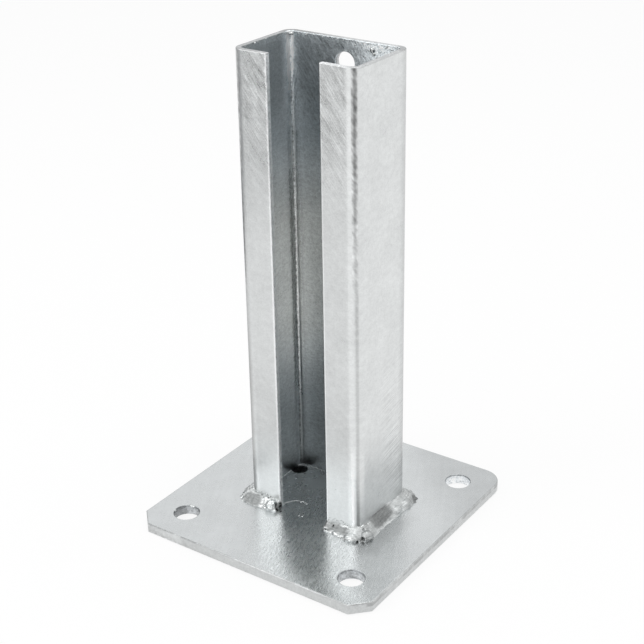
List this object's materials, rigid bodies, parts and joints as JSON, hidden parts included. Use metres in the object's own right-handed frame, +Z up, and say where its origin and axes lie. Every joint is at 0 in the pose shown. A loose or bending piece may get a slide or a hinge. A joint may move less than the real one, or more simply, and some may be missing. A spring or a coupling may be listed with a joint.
{
  "type": "column base plate",
  "caption": "Square galvanised base plate with chamfered corners and anchor holes, and a tall slotted box channel welded upright on it to hold a column.",
  "frame": {"origin": "centre of the base plate's underside", "axes": "+Z up along the channel, +X along the channel's wide back wall, and the slot faces -Y"},
  "size_m": [0.15, 0.15, 0.264],
  "materials": {
    "plate_zinc": "hot-dip galvanised, satin",
    "channel_zinc": "hot-dip galvanised, satin with faint run marks",
    "weld_zinc": "hot-dip galvanised over rippled weld beads"
  },
  "bodies": {
    "root": {"base_plate": "plate_zinc", "slotted_channel": "channel_zinc", "weld_right": "weld_zinc", "weld_left": "weld_zinc"}
  },
  "joints": []
}
